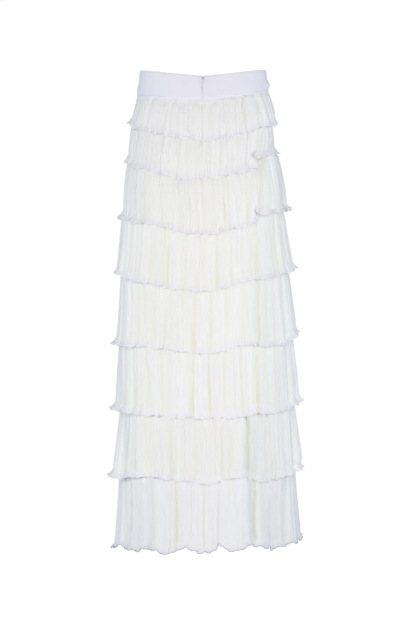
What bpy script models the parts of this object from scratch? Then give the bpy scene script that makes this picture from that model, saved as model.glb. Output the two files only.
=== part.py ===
"""A long tiered ruffle skirt, filled out as if worn on a general figure, open at waist and hem.

Metres, +Z up. The origin is the centre of the waist opening, level with its highest edge. The back of the
skirt, with its zip, faces -Y, and +X is the wearer's right side. A ring is a level-ish section of the skirt:
an ellipse that dips towards the centre back and the centre front. Its angle runs from 0 at the centre back,
over 90 degrees at +X, to 180 at the centre front. Each panel is a wall between the rings at its top edge, at
the line where the next tier is sewn on, and at its free frilled hem.
"""

from math import atan, cos, pi, sin

import bmesh
import bpy
import numpy as np
from mathutils import Vector

MM = 0.001

CLOTH = 1.4 * MM  # thickness of a chiffon panel, with its pleats pressed in
BAND_CLOTH = 2.0 * MM
TAPE_CLOTH = 1.0 * MM
SEAM_GAP = 0.3 * MM

LEFT_SEAM = -97.0  # degrees, just to the front of the left side
ZIP_GAP = 0.8 * MM  # from the centre back to each edge of the zip opening
PHASES = 6  # points along one pleat wave
WAVE_SPREAD = 15.0  # degrees that one wave takes on average
FRONT_STEP_REACH = 22.0  # degrees over which a raised front hem comes down again

# Sections of the waistband, in millimetres
BAND_COLUMNS = ("side_z", "half_width", "half_depth", "centre_x", "centre_y", "dip_back", "dip_front", "tilt")
BAND_TOP = (0.0, 132.5, 97.0, 0.0, 0.0, 20.0, 12.0, 0.7)
BAND_BOTTOM = (-50.8, 138.0, 102.0, 0.0, -2.0, 17.0, 11.0, 4.7)
BAND_STEPS = 52

# Tiers from the waist down, in millimetres and degrees. hem_z is the hem's height at the sides, seam_rise how
# far above the hem the next tier is sewn on, seam_half and hem_half the half widths there between the folds,
# depth the half depth over the half width, tilt how much higher the +X side is than the centre, right_seam the
# angle of the seam on that side, fold and frill the depths of the waves at the seam line and at the hem, and
# front_step how much higher the front panel's hem is at the right seam.
TIER_COLUMNS = (
    "hem_z", "seam_rise", "seam_half", "hem_half", "depth", "centre_x", "centre_y",
    "dip_back", "dip_front", "tilt", "right_seam", "fold", "frill", "front_step",
)
TIER_ROWS = (
    (-111.0, 18.0, 148.5, 155.0, 0.745, 0.0, -8.0, 43.0, 30.0, 1.4, 53.0, 1.5, 5.0, 0.0),
    (-186.0, 18.0, 156.0, 160.5, 0.750, -3.0, -14.0, 47.5, 34.0, 6.3, 54.0, 2.0, 5.0, 12.0),
    (-301.0, 19.0, 169.0, 177.5, 0.750, 4.0, -16.0, 47.5, 34.0, 7.3, 44.0, 3.0, 6.0, 10.0),
    (-420.5, 19.0, 181.0, 186.0, 0.740, 3.0, -14.0, 46.0, 32.0, 4.6, 35.0, 4.0, 6.0, 4.0),
    (-560.5, 20.0, 184.0, 192.0, 0.745, 5.5, -11.0, 32.0, 25.0, 12.4, 36.0, 4.0, 6.5, 3.0),
    (-700.0, 20.0, 187.5, 197.0, 0.755, 9.5, -8.0, 25.0, 19.0, 8.4, 32.0, 5.0, 6.5, 0.0),
    (-841.0, 20.0, 187.5, 200.5, 0.765, 9.5, -6.0, 18.0, 12.0, 6.8, 25.0, 9.0, 7.5, 0.0),
    (-994.0, 20.0, 191.0, 195.0, 0.770, 9.5, -5.0, 3.0, 2.0, 5.0, 29.0, 5.0, 7.0, 0.0),
)
ZIP_TIERS = 2  # tiers whose back panel the zip opening parts

# The zip, in millimetres
TAPE_SPREAD = 5.0  # degrees
TAPE_START = 0.06  # part of the waistband's height that the tape's upper end lies below its edge
TAPE_END = 0.72  # part of the second tier's height that the tape reaches down
SLIDER_DROP = 6.0  # from the waistband's upper edge to the pull tab's pivot
BODY_SIZE = (6.0, 2.6, 9.0)
NECK_SIZE = (0.9, 0.0, 5.0)
PLATE_SIZE = (5.0, 1.0, 8.0)
BRIDGE_WIDTH = 1.0
BRIDGE_WINDOW = (2.1, 3.4)  # clear depth and height between the bridge and the plate
BRIDGE_BAR = 0.9
TAB_WIDTH = 4.4
TAB_THICKNESS = 0.9
TAB_SLOT = (1.9, 3.4)  # width and length of the slot that the bridge stands in
TAB_LENGTH = 15.0

COLOURS = {
    "waistband": (0.76, 0.76, 0.86, 1.0),
    "chiffon": (0.86, 0.86, 0.85, 1.0),
    "zip tape": (0.80, 0.80, 0.87, 1.0),
    "zip metal": (0.42, 0.42, 0.46, 1.0),
}


def clear_scene():
    for item in list(bpy.data.objects):
        bpy.data.objects.remove(item, do_unlink=True)


def material(name, roughness, metallic=0.0):
    made = bpy.data.materials.new(name)
    made.use_nodes = True
    shader = made.node_tree.nodes["Principled BSDF"]
    shader.inputs["Base Color"].default_value = COLOURS[name]
    shader.inputs["Roughness"].default_value = roughness
    shader.inputs["Metallic"].default_value = metallic
    made.diffuse_color = COLOURS[name]
    return made


def add_object(name, mesh, finish):
    mesh.materials.append(finish)
    made = bpy.data.objects.new(name, mesh)
    bpy.context.scene.collection.objects.link(made)
    return made


# Rings


def ring_of(row):
    """A waistband row of millimetres as a ring in metres."""
    return {column: value * MM for column, value in zip(BAND_COLUMNS, row)}


def tier_of(row):
    """A tier row as its ring at the seam line and its ring at the hem, with its own angles and waves."""
    tier = dict(zip(TIER_COLUMNS, row))
    shared = {column: tier[column] * MM for column in ("centre_x", "centre_y", "dip_back", "dip_front", "tilt")}
    seam = dict(shared, side_z=(tier["hem_z"] + tier["seam_rise"]) * MM, half_width=tier["seam_half"] * MM)
    hem = dict(shared, side_z=tier["hem_z"] * MM, half_width=tier["hem_half"] * MM)
    for ring in (seam, hem):
        ring["half_depth"] = ring["half_width"] * tier["depth"]
    return tier, seam, hem


def moved(ring, inwards=0.0, down=0.0):
    """The ring, taken in all round and lowered."""
    return dict(
        ring,
        half_width=ring["half_width"] - inwards,
        half_depth=ring["half_depth"] - inwards,
        side_z=ring["side_z"] - down,
    )


def between(upper, lower, part):
    """The ring at this part of the way from the upper to the lower one."""
    return {key: upper[key] + (lower[key] - upper[key]) * part for key in upper}


def ring_points(ring, degrees, outwards):
    """The ring's points at these angles, each moved outwards along the ellipse's own normal."""
    angle = np.radians(degrees)
    across, along = np.sin(angle), np.cos(angle)
    normal = np.stack([across / ring["half_width"], -along / ring["half_depth"]])
    normal = normal / np.linalg.norm(normal, axis=0)
    x = ring["centre_x"] + ring["half_width"] * across + normal[0] * outwards
    y = ring["centre_y"] - ring["half_depth"] * along + normal[1] * outwards
    dip = np.where(along > 0, ring["dip_back"], ring["dip_front"])
    z = ring["side_z"] + ring["tilt"] * across - dip * along**2
    return np.stack([x, y, z], axis=1)


def arc_degrees(ring, length, at=0.0):
    """The angle that a short length along the ring takes at this angle."""
    angle = np.radians(at)
    return np.degrees(length / np.hypot(ring["half_width"] * np.cos(angle), ring["half_depth"] * np.sin(angle)))


# Walls


def add_wall(name, outer, inner, finish):
    """A closed wall between two grids of points, rows from the top down and columns round the skirt."""
    rows, columns = outer.shape[:2]
    points = np.concatenate([outer.reshape(-1, 3), inner.reshape(-1, 3)])
    index = np.arange(rows * columns).reshape(rows, columns)
    back = index + rows * columns

    def strip(first, second):
        """Quads between two lines of point numbers."""
        return np.stack([first[:-1], second[:-1], second[1:], first[1:]], axis=1)

    faces = []
    for row in range(rows - 1):
        faces.append(strip(index[row], index[row + 1]))
        faces.append(strip(back[row + 1], back[row]))
    faces.append(strip(back[0], index[0]))
    faces.append(strip(index[-1], back[-1]))
    faces.append(strip(index[:, 0], back[:, 0]))
    faces.append(strip(back[:, -1], index[:, -1]))

    mesh = bpy.data.meshes.new(name)
    mesh.from_pydata(points.tolist(), [], np.concatenate(faces).tolist())
    mesh.update()
    mesh.shade_smooth()
    mesh.set_sharp_from_angle(angle=pi / 4)
    return add_object(name, mesh, finish)


def uneven_waves(first, last, number):
    """The angles of a panel's columns and, for each, how far out its wave stands, from 0 to about 1.2.

    Waves differ in width and depth by a fixed irregular rule. Each one starts and ends at 0, in its trough.
    """
    waves = max(2, round((last - first) / WAVE_SPREAD))
    order = np.arange(waves)
    widths = 1.0 + 0.35 * np.sin(2.4 * order + 1.7 * number)
    strengths = 0.85 + 0.35 * np.sin(4.1 * order + 2.3 * number + 0.6)
    edges = np.concatenate([[0.0], np.cumsum(widths)]) / widths.sum()
    phase = np.arange(PHASES) / PHASES
    along = (edges[:-1, None] + np.diff(edges)[:, None] * phase).ravel()
    out = (strengths[:, None] * (0.5 - 0.5 * np.cos(2 * pi * phase))).ravel()
    angles = first + (last - first) * np.append(along, 1.0)
    return angles, np.append(out, 0.0)


def add_panel(name, number, first, last, top, seam, hem, tier, finish, hem_lift=None):
    """One cloth panel of a tier, from one angle to another, between its three rings."""
    angles, out = uneven_waves(first, last, number)
    depths = ((top, 0.0), (seam, tier["fold"] * MM), (hem, tier["frill"] * MM))
    outer = np.stack([ring_points(ring, angles, out * depth) for ring, depth in depths])
    inner = np.stack([ring_points(ring, angles, out * depth - CLOTH) for ring, depth in depths])
    if hem_lift is not None:
        outer[-1, :, 2] += hem_lift(angles)
        inner[-1, :, 2] += hem_lift(angles)
    return add_wall(name, outer, inner, finish)


def add_tier(number, tier, top, seam, hem, finish):
    """A tier's back and front panels, the back one parted where the zip opens."""
    left, right = LEFT_SEAM, tier["right_seam"]
    left_gap = arc_degrees(seam, SEAM_GAP / 2, left)
    right_gap = arc_degrees(seam, SEAM_GAP / 2, right)

    def front_lift(angles):
        return tier["front_step"] * MM * np.exp(-(angles - right) / FRONT_STEP_REACH)

    if number <= ZIP_TIERS:
        zip_edge = arc_degrees(top, ZIP_GAP)
        backs = ((f"tier_{number}_back_left", left, -zip_edge), (f"tier_{number}_back_right", zip_edge, right))
    else:
        backs = ((f"tier_{number}_back", left, right),)
    for name, first, last in backs:
        start = first + (left_gap if first == left else 0.0)
        end = last - (right_gap if last == right else 0.0)
        add_panel(name, number, start, end, top, seam, hem, tier, finish)
    start, end = right + right_gap, left + 360.0 - left_gap
    add_panel(f"tier_{number}_front", number + 8, start, end, top, seam, hem, tier, finish, front_lift)


def add_waistband(top, bottom, finish):
    edge = arc_degrees(top, ZIP_GAP)
    angles = np.linspace(edge, 360.0 - edge, BAND_STEPS + 1)
    outer = np.stack([ring_points(ring, angles, 0.0) for ring in (top, bottom)])
    inner = np.stack([ring_points(ring, angles, -BAND_CLOTH) for ring in (top, bottom)])
    return add_wall("waistband", outer, inner, finish)


# Zip


def add_tapes(band_top, band_bottom, tiers, finish):
    """Two tapes behind the zip opening, inside the waistband and the first two tiers."""
    _, first_seam, _ = tiers[0]
    _, second_seam, _ = tiers[1]
    behind_band = BAND_CLOTH + SEAM_GAP
    behind_tier = CLOTH + SEAM_GAP
    second_top = moved(first_seam, behind_tier)
    rings = (
        moved(between(band_top, band_bottom, TAPE_START), behind_band),
        moved(band_bottom, behind_band),
        moved(between(band_bottom, first_seam, 0.9), 2 * behind_tier),
        moved(second_top, behind_tier),
        moved(between(second_top, second_seam, TAPE_END), behind_tier),
    )
    edge = arc_degrees(band_top, ZIP_GAP)
    for name, first, last in (("zip_tape_left", -TAPE_SPREAD, -edge), ("zip_tape_right", edge, TAPE_SPREAD)):
        angles = np.linspace(first, last, 4)
        outer = np.stack([ring_points(ring, angles, 0.0) for ring in rings])
        inner = np.stack([ring_points(ring, angles, -TAPE_CLOTH) for ring in rings])
        add_wall(name, outer, inner, finish)


def add_box(work, low, high):
    """A box between two corners, in millimetres from the pull tab's pivot."""
    low, high = Vector(low) * MM, Vector(high) * MM
    made = bmesh.ops.create_cube(work, size=1.0)["verts"]
    for point in made:
        point.co = Vector(
            high[axis] if point.co[axis] > 0 else low[axis] for axis in range(3)
        )


def box_object(name, low, high, finish):
    work = bmesh.new()
    add_box(work, low, high)
    mesh = bpy.data.meshes.new(name)
    work.to_mesh(mesh)
    work.free()
    return add_object(name, mesh, finish)


def centred(size, y_low, y_high, z_middle=0.0):
    """Corners of a box that is centred across the zip, between two depths."""
    return (-size[0] / 2, y_low, z_middle - size[2] / 2), (size[0] / 2, y_high, z_middle + size[2] / 2)


def add_slider(pivot, lean, wall_out, wall_in, finish):
    """The slider: its body inside the skirt, a neck through the opening, a plate outside and the bridge on it.

    Depths are measured from the pivot in millimetres, towards the inside of the skirt.
    """
    gap = SEAM_GAP / MM
    plate_in = wall_out - gap
    plate_out = plate_in - PLATE_SIZE[1]
    body_out = wall_in + gap
    window_depth, window_height = BRIDGE_WINDOW
    bar_in = plate_out - window_depth
    bar_out = bar_in - BRIDGE_BAR
    overlap = 0.2
    bridge_half = window_height / 2 + BRIDGE_BAR
    blocks = [
        centred(BODY_SIZE, body_out, body_out + BODY_SIZE[1]),
        centred(NECK_SIZE, plate_out + overlap, body_out + overlap),
        ((-BRIDGE_WIDTH / 2, bar_out, -bridge_half), (BRIDGE_WIDTH / 2, bar_in, bridge_half)),
    ]
    for low, high in ((-bridge_half, -window_height / 2), (window_height / 2, bridge_half)):
        blocks.append(((-BRIDGE_WIDTH / 2, bar_in - overlap, low), (BRIDGE_WIDTH / 2, plate_out + overlap, high)))
    slider = box_object("zip_slider", *centred(PLATE_SIZE, plate_out, plate_in), finish)
    for number, (low, high) in enumerate(blocks):
        block = box_object(f"slider_block_{number}", low, high, finish)
        block.hide_render = True
        block.display_type = "WIRE"
        union = slider.modifiers.new(f"join_{number}", "BOOLEAN")
        union.operation = "UNION"
        union.object = block
        block.location, block.rotation_euler = pivot, lean
    slider.location, slider.rotation_euler = pivot, lean


def tab_outline():
    """Half the pull tab's outline, from its top to its tip, as width and height in millimetres."""
    half = TAB_WIDTH / 2
    bar_top = TAB_THICKNESS / 2
    tip = bar_top - TAB_LENGTH
    return ((half, bar_top), (half, -4.2), (half * 0.72, -7.0), (half * 0.8, -10.5), (half * 0.62, tip + 1.2),
            (half * 0.25, tip))


def add_pull_tab(pivot, lean, finish):
    """A flat tab with a slot, whose top bar turns in the bridge's window about the X axis through the pivot."""
    side = tab_outline()
    outline = [(x, z) for x, z in side] + [(-x, z) for x, z in reversed(side)]
    slot_half, slot_length = TAB_SLOT[0] / 2, TAB_SLOT[1]
    slot_top = -TAB_THICKNESS / 2
    slot = ((slot_half, slot_top), (slot_half, slot_top - slot_length),
            (-slot_half, slot_top - slot_length), (-slot_half, slot_top))
    thick = TAB_THICKNESS / 2

    def prism(name, line, half_depth):
        work = bmesh.new()
        face = work.faces.new([work.verts.new(Vector((x, -half_depth, z)) * MM) for x, z in line])
        extruded = bmesh.ops.extrude_face_region(work, geom=[face])["geom"]
        moved_points = [item for item in extruded if isinstance(item, bmesh.types.BMVert)]
        bmesh.ops.translate(work, verts=moved_points, vec=(0.0, 2 * half_depth * MM, 0.0))
        bmesh.ops.recalc_face_normals(work, faces=work.faces)
        mesh = bpy.data.meshes.new(name)
        work.to_mesh(mesh)
        work.free()
        return add_object(name, mesh, finish)

    tab = prism("zip_pull_tab", outline, thick)
    cutter = prism("slot_cutter", slot, thick * 2)
    cutter.hide_render = True
    cutter.display_type = "WIRE"
    cut = tab.modifiers.new("slot", "BOOLEAN")
    cut.operation = "DIFFERENCE"
    cut.object = cutter
    for item in (tab, cutter):
        item.location, item.rotation_euler = pivot, lean


def add_zip_runner(band_top, band_bottom, finish):
    """The slider and its pull tab at the top of the zip, leaning as the waistband does there."""
    top_z, bottom_z = (ring["side_z"] - ring["dip_back"] for ring in (band_top, band_bottom))
    top_y, bottom_y = (ring["centre_y"] - ring["half_depth"] for ring in (band_top, band_bottom))
    slope = (top_y - bottom_y) / (top_z - bottom_z)
    lean = (-atan(slope), 0.0, 0.0)
    drop = SLIDER_DROP * MM
    wall_out = SEAM_GAP / MM + PLATE_SIZE[1] + BRIDGE_WINDOW[0] / 2
    wall_in = wall_out + (BAND_CLOTH + SEAM_GAP + TAPE_CLOTH) / MM
    out = Vector((0.0, -cos(atan(slope)), sin(atan(slope)))) * wall_out * MM
    pivot = Vector((band_top["centre_x"], top_y - slope * drop, top_z - drop)) + out
    add_slider(pivot, lean, wall_out, wall_in, finish)
    add_pull_tab(pivot, lean, finish)


def main():
    clear_scene()
    band_finish = material("waistband", 0.6)
    chiffon = material("chiffon", 0.85)
    tape_finish = material("zip tape", 0.75)
    metal = material("zip metal", 0.35, 0.9)

    band_top, band_bottom = ring_of(BAND_TOP), ring_of(BAND_BOTTOM)
    add_waistband(band_top, band_bottom, band_finish)

    tiers = [tier_of(row) for row in TIER_ROWS]
    top = moved(band_bottom, down=SEAM_GAP)
    for number, (tier, seam, hem) in enumerate(tiers, start=1):
        add_tier(number, tier, top, seam, hem, chiffon)
        top = moved(seam, inwards=CLOTH + SEAM_GAP)

    add_tapes(band_top, band_bottom, tiers, tape_finish)

    add_zip_runner(band_top, band_bottom, metal)


main()
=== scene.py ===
from types import SimpleNamespace

import bmesh
import bpy
import numpy as np
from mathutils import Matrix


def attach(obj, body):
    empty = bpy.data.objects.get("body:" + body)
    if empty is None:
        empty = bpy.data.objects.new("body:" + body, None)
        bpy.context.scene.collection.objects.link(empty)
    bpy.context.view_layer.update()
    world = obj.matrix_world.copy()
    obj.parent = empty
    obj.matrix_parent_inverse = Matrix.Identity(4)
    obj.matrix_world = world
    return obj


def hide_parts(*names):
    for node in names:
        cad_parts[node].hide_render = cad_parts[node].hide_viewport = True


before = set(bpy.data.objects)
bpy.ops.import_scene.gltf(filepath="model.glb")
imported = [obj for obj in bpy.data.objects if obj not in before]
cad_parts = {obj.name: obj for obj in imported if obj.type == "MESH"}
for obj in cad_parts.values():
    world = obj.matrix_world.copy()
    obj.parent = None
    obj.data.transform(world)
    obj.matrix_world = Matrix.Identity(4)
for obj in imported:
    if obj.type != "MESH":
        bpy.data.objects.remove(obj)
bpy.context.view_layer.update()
mm = 0.001
skirtBody = "skirt"
tabBody = "pull_tab"

view = {
    "distance": 5.0,
    "height": -0.507,
    "across": 0.0105,
    "pixel": 0.0021,  # metres, at the middle of the skirt
    "rows": 624,
    "sensor": 36.0,
    "reach": 50.0,
}
studio = {
    "floorHeight": -1.35,
    "floorRadii": (0.0012, 0.48, 0.96, 1.2),
    "floorPoints": 65,
    "floorColour": (0.76, 0.77, 0.79),
    "floorClouds": 6.0,
    "floorPaler": 1.03,
    "seenColour": (1.0, 1.0, 1.0),
    "seenStrength": 1.02,
    "roomColour": (0.95, 0.99, 1.06),
    "roomStrength": 0.366,
    # degrees to the right of straight ahead, colour, power in watts, level, width and height
    "softboxes": (
        (0.0, (1.08, 1.0, 0.90), 9.85, 0.05, 1.0, 0.8),
        (0.0, (1.08, 1.0, 0.90), 5.2, -0.98, 1.0, 0.6),
        (-67.0, (0.96, 1.0, 1.06), 12.05, -0.42, 1.0, 1.5),
        (67.0, (0.96, 1.0, 1.06), 12.75, -0.42, 1.0, 1.5),
        (180.0, (0.98, 1.0, 1.02), 15.0, -0.40, 1.2, 1.2),
    ),
    "softboxDistance": 1.9,
}


def newObject(name, data):  # an object in the scene that holds this data
    made = bpy.data.objects.new(name, data)
    bpy.context.scene.collection.objects.link(made)
    return made


def feed(tree, value, socket):  # a link from another node's output, or a plain value; a colour gets its alpha
    if isinstance(value, bpy.types.NodeSocket):
        tree.links.new(value, socket)
    else:
        socket.default_value = (*value, 1.0) if socket.type == "RGBA" else value


def addNode(tree, kind, inputs=None, **settings):  # the outputs of a new shader node
    node = tree.nodes.new(f"ShaderNode{kind}")
    for key, value in settings.items():
        setattr(node, key, value)
    for key, value in (inputs or {}).items():
        feed(tree, value, node.inputs[key])
    return node.outputs


def addCamera():  # level; lens: the sensor times the distance over the height that the rows cover
    data = bpy.data.cameras.new("camera")
    data.sensor_width = view["sensor"]
    data.lens = view["sensor"] * view["distance"] / (view["pixel"] * view["rows"])
    data.clip_end = view["reach"]
    made = newObject("camera", data)
    made.location = (view["across"], -view["distance"], view["height"])
    made.rotation_euler = (np.pi / 2, 0.0, 0.0)
    bpy.context.scene.camera = made


def addRoom():  # white where the camera sees it, a cool even light everywhere else
    world = bpy.data.worlds.new("room")
    world.use_nodes = True
    tree = world.node_tree
    tree.nodes.clear()
    lit, seen = (
        addNode(tree, "Background", {"Color": studio[f"{kind}Colour"], "Strength": studio[f"{kind}Strength"]})
        for kind in ("room", "seen"))
    path = addNode(tree, "LightPath")
    mix = addNode(tree, "MixShader", {0: path["Is Camera Ray"], 1: lit[0], 2: seen[0]})
    addNode(tree, "OutputWorld", {"Surface": mix[0]})
    bpy.context.scene.world = world


def addSoftboxes():  # large soft lights on an arc round the skirt, each facing its axis
    away = studio["softboxDistance"]
    for turn, colour, power, level, width, height in studio["softboxes"]:
        angle = np.radians(turn)
        data = bpy.data.lights.new("softbox", "AREA")
        data.shape = "RECTANGLE"
        data.size, data.size_y = width, height
        data.color = colour
        data.energy = power
        made = newObject("softbox", data)
        made.location = (away * np.sin(angle), -away * np.cos(angle), level)
        made.rotation_euler = (np.pi / 2, 0.0, angle)
        made.visible_camera = False


addCamera()
addRoom()
addSoftboxes()
bpy.context.scene.view_settings.view_transform = "Standard"
print("camera, room and light placed")


def outward(grid):  # unit normal at each point: the way down crossed with the way round
    down = np.gradient(grid, axis=0)
    across = np.gradient(grid, axis=1)
    normal = np.cross(down, across)
    return normal / np.maximum(np.linalg.norm(normal, axis=2, keepdims=True), 1e-12)


def gridFaces(index):  # a quad between each point, the one below it and their neighbours to the right
    return np.stack([index[:-1, :-1], index[1:, :-1], index[1:, 1:], index[:-1, 1:]], axis=2).reshape(-1, 4)


def capFaces(ring):  # quads that close an even ring of points, from one side to the other
    half = len(ring) // 2
    one, other = ring[:half], ring[half:][::-1]
    return np.stack([one[:-1], one[1:], other[1:], other[:-1]], axis=1)


def meshObject(name, points, quads, material, attributes=None, flatFrom=None):
    # the faces from flatFrom on are shaded flat, so that they leave their neighbours' normals alone
    mesh = bpy.data.meshes.new(name)
    mesh.vertices.add(len(points))
    mesh.vertices.foreach_set("co", np.ascontiguousarray(points, np.float32).ravel())
    mesh.loops.add(quads.size)
    mesh.loops.foreach_set("vertex_index", np.ascontiguousarray(quads, np.int32).ravel())
    mesh.polygons.add(len(quads))
    mesh.polygons.foreach_set("loop_start", np.arange(0, quads.size, 4, dtype=np.int32))
    mesh.polygons.foreach_set("use_smooth", np.arange(len(quads)) < (flatFrom or len(quads)))
    mesh.update(calc_edges=True)
    for key, values in (attributes or {}).items():
        kind, field = ("FLOAT_VECTOR", "vector") if values.ndim == 2 else ("FLOAT", "value")
        layer = mesh.attributes.new(key, kind, "POINT")
        layer.data.foreach_set(field, np.ascontiguousarray(values, np.float32).ravel())
    mesh.materials.append(material)
    return newObject(name, mesh)


def clothObject(name, outer, thickness, material, attributes):
    # thin closed shell: the grid, the same grid moved inwards by the thickness, and a rim all round
    inner = outer - outward(outer) * thickness
    rows, columns = outer.shape[:2]
    index = np.arange(rows * columns).reshape(rows, columns)
    back = index + rows * columns
    rims = [(back[0], index[0]), (index[-1], back[-1]),
            (index[:, 0], back[:, 0]), (back[:, -1], index[:, -1])]
    quads = [gridFaces(index), gridFaces(back)[:, ::-1]] + [gridFaces(np.stack(rim)) for rim in rims]
    points = np.concatenate([outer.reshape(-1, 3), inner.reshape(-1, 3)])
    both = {key: np.concatenate([values.reshape(rows * columns, -1)] * 2).squeeze()
            for key, values in attributes.items()}
    rimStart = len(quads[0]) + len(quads[1])
    return meshObject(name, points, np.concatenate(quads), material, both, rimStart), inner


def tubeObject(name, line, sideways, radius, sides, material, attributes=None):
    # round tube: centre points, plus the radius times cosine and sine of the turn along two ways across it
    along = np.gradient(line, axis=0)
    along /= np.linalg.norm(along, axis=1, keepdims=True)
    first = sideways - along * (sideways * along).sum(axis=1, keepdims=True)
    first /= np.linalg.norm(first, axis=1, keepdims=True)
    ring = turned(first, np.cross(along, first), sides)
    points = line[:, None] + ring * np.broadcast_to(radius, len(line))[:, None, None]
    index = np.arange(len(line) * sides).reshape(len(line), sides)
    quads = [gridFaces(closed(index)), capFaces(index[0]), capFaces(index[-1])[:, ::-1]]
    values = {key: np.repeat(value, sides, axis=0) for key, value in (attributes or {}).items()}
    return meshObject(name, points.reshape(-1, 3), np.concatenate(quads)[:, ::-1], material, values)


def turned(first, second, sides):  # a circle: cosine times the first direction, plus sine times the second
    turn = np.arange(sides) * 2 * np.pi / sides
    return np.cos(turn)[None, :, None] * first[:, None] + np.sin(turn)[None, :, None] * second[:, None]


def closed(index):  # rings of point numbers, each with its first again at its end
    return np.hstack([index, index[:, :1]])


def lengths(line):  # millimetres along a line of points, from its start to each of them
    return np.concatenate([[0.0], np.cumsum(np.linalg.norm(np.diff(line, axis=0), axis=1))]) / mm


def sampled(line, values, at):  # the values at a line's points, read at these millimetres along it
    return np.stack([np.interp(at, lengths(line), part) for part in values.T], axis=1)


def settle(piece, body=skirtBody, node=None):  # its body, and the node that it stands for, hidden
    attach(piece, body)
    if node:
        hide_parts(node)


weave = {
    "threads": 900.0,
    "wander": 3.0,
    "grain": 700.0,
    "clouds": 14.0,
    "crinkles": 310.0,
    "crinkleStretch": 0.07,
    "crinkleRange": (0.38, 0.62),
    "crinkleDepth": -5.0,  # times the height of a thread
}


def crepeGroup():  # crossed threads, uneven grain and long fine crinkles, read from the cloth's own metres
    group = bpy.data.node_groups.new("crepe", "ShaderNodeTree")
    kind = "NodeSocketFloat"
    socket = group.interface.new_socket(name="Threads", in_out="INPUT", socket_type=kind)
    socket.default_value = weave["threads"]
    place = addNode(group, "Attribute", attribute_name="cloth")["Vector"]
    threads = group.nodes.new("NodeGroupInput").outputs["Threads"]
    wave = {"Vector": place, "Scale": threads, "Distortion": weave["wander"], "Detail": 1.0}
    across, down = (addNode(group, "TexWave", wave, bands_direction=way)["Fac"] for way in "XY")
    grain = addNode(group, "TexNoise", {"Vector": place, "Scale": weave["grain"]})["Fac"]
    woven = addNode(group, "Math", {0: across, 1: down}, operation="MAXIMUM")[0]
    height = addNode(group, "Math", {0: woven, 1: grain}, operation="ADD")[0]
    cloud = addNode(group, "TexNoise", {"Vector": place, "Scale": weave["clouds"], "Detail": 3.0})["Fac"]
    stretch = (1.0, weave["crinkleStretch"], 1.0)
    longer = addNode(group, "VectorMath", {0: place, 1: stretch}, operation="MULTIPLY")[0]
    noise = addNode(group, "TexNoise", {"Vector": longer, "Scale": weave["crinkles"], "Detail": 2.0})["Fac"]
    low, high = weave["crinkleRange"]
    crinkleAndShade = addNode(group, "MapRange", {"Value": noise, "From Min": low, "From Max": high})["Result"]
    relief = addNode(group, "Math", {0: crinkleAndShade, 1: weave["crinkleDepth"], 2: height},
                     operation="MULTIPLY_ADD")[0]
    out = group.nodes.new("NodeGroupOutput")
    for name, value in (("Height", height), ("Cloud", cloud), ("Crinkle", crinkleAndShade), ("Relief", relief)):
        group.interface.new_socket(name=name, in_out="OUTPUT", socket_type=kind)
        group.links.new(value, out.inputs[name])
    return group


crepe = crepeGroup()


def newMaterial(name):  # a material with its shader, and its node tree
    made = bpy.data.materials.new(name)
    made.use_nodes = True
    return made, made.node_tree


def mixColour(tree, factor, first, second, blend="MIX"):
    # the first colour where the factor is 0, and the second, or their product, where it is 1
    return addNode(tree, "Mix", {0: factor, 6: first, 7: second}, data_type="RGBA", blend_type=blend)[2]


def shade(tree, colour, plain, bump=None):
    # base colour from a socket, plain values on the shader's own, bump from a height, its strength and reach
    given = {"Base Color": colour, **plain}
    if bump:
        given["Normal"] = addNode(tree, "Bump", dict(zip(("Height", "Strength", "Distance"), bump)))["Normal"]
    for key, value in given.items():
        feed(tree, value, tree.nodes["Principled BSDF"].inputs[key])


def fabric(name, look):
    # the body's colour, the frill's towards the hem, multiplied where each mask and the weave's are high; the
    # valley, cool and crinkle colours are painted shade in folds, shaded strips and crinkle grooves
    made, tree = newMaterial(name)
    masks = {key: addNode(tree, "Attribute", attribute_name=key)["Fac"]
             for key in ("frill", "tone", "paintedValleyShade", "paintedCoolShade")}
    cloth = addNode(tree, "Group", {"Threads": look["threads"]}, node_tree=crepe)
    colour = mixColour(tree, masks.pop("frill"), look["body"], look["frill"])
    for key, mask in {**masks, "cloud": cloth["Cloud"], "crinkleAndShade": cloth["Crinkle"]}.items():
        colour = mixColour(tree, mask, colour, look[key], "MULTIPLY")
    smooth, rough = look["roughness"] - look["uneven"], look["roughness"] + look["uneven"]
    rough = addNode(tree, "MapRange", {"Value": cloth["Height"], "To Min": smooth, "To Max": rough})["Result"]
    plain = {"Roughness": rough, "Specular IOR Level": look["specular"], "Sheen Weight": look["sheen"],
             "Sheen Roughness": look["sheenRoughness"]}
    shade(tree, colour, plain, (cloth["Relief"], look["bump"], look["relief"]))
    return made


# the valley, cool and crinkle colours darken the body as painted shade; tone and cloud vary at random
looks = {
    "chiffon": {
        "body": (0.902, 0.911, 0.925), "frill": (0.889, 0.881, 0.934), "paintedValleyShade": (0.945, 0.962, 0.86),
        "paintedCoolShade": (0.82, 0.835, 0.845), "tone": (0.985, 0.968, 0.968), "cloud": (0.985, 0.985, 0.985),
        "crinkleAndShade": (0.976, 0.976, 0.972), "threads": 900.0, "roughness": 0.85, "bump": 0.12, "specular": 0.25,
        "sheen": 0.08,
        "uneven": 0.06,  # added to the roughness and taken off it, with the threads
        "relief": 0.0002,
        "sheenRoughness": 0.5,
    },
}
# the hem's edging is painted lighter than the chiffon, as painted light over the shade at each hem
looks["edging"] = {
    **looks["chiffon"], "body": (0.955, 0.95, 0.97), "frill": (0.955, 0.95, 0.97), "paintedValleyShade": (0.9, 0.9, 0.9),
    "paintedCoolShade": (0.8, 0.83, 0.87), "tone": (0.97, 0.97, 0.97), "cloud": (0.96, 0.96, 0.97),
    "crinkleAndShade": (0.98, 0.98, 0.98), "threads": 1500.0, "roughness": 0.7, "bump": 0.3, "specular": 0.3,
    "sheen": 0.1,
}
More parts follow.
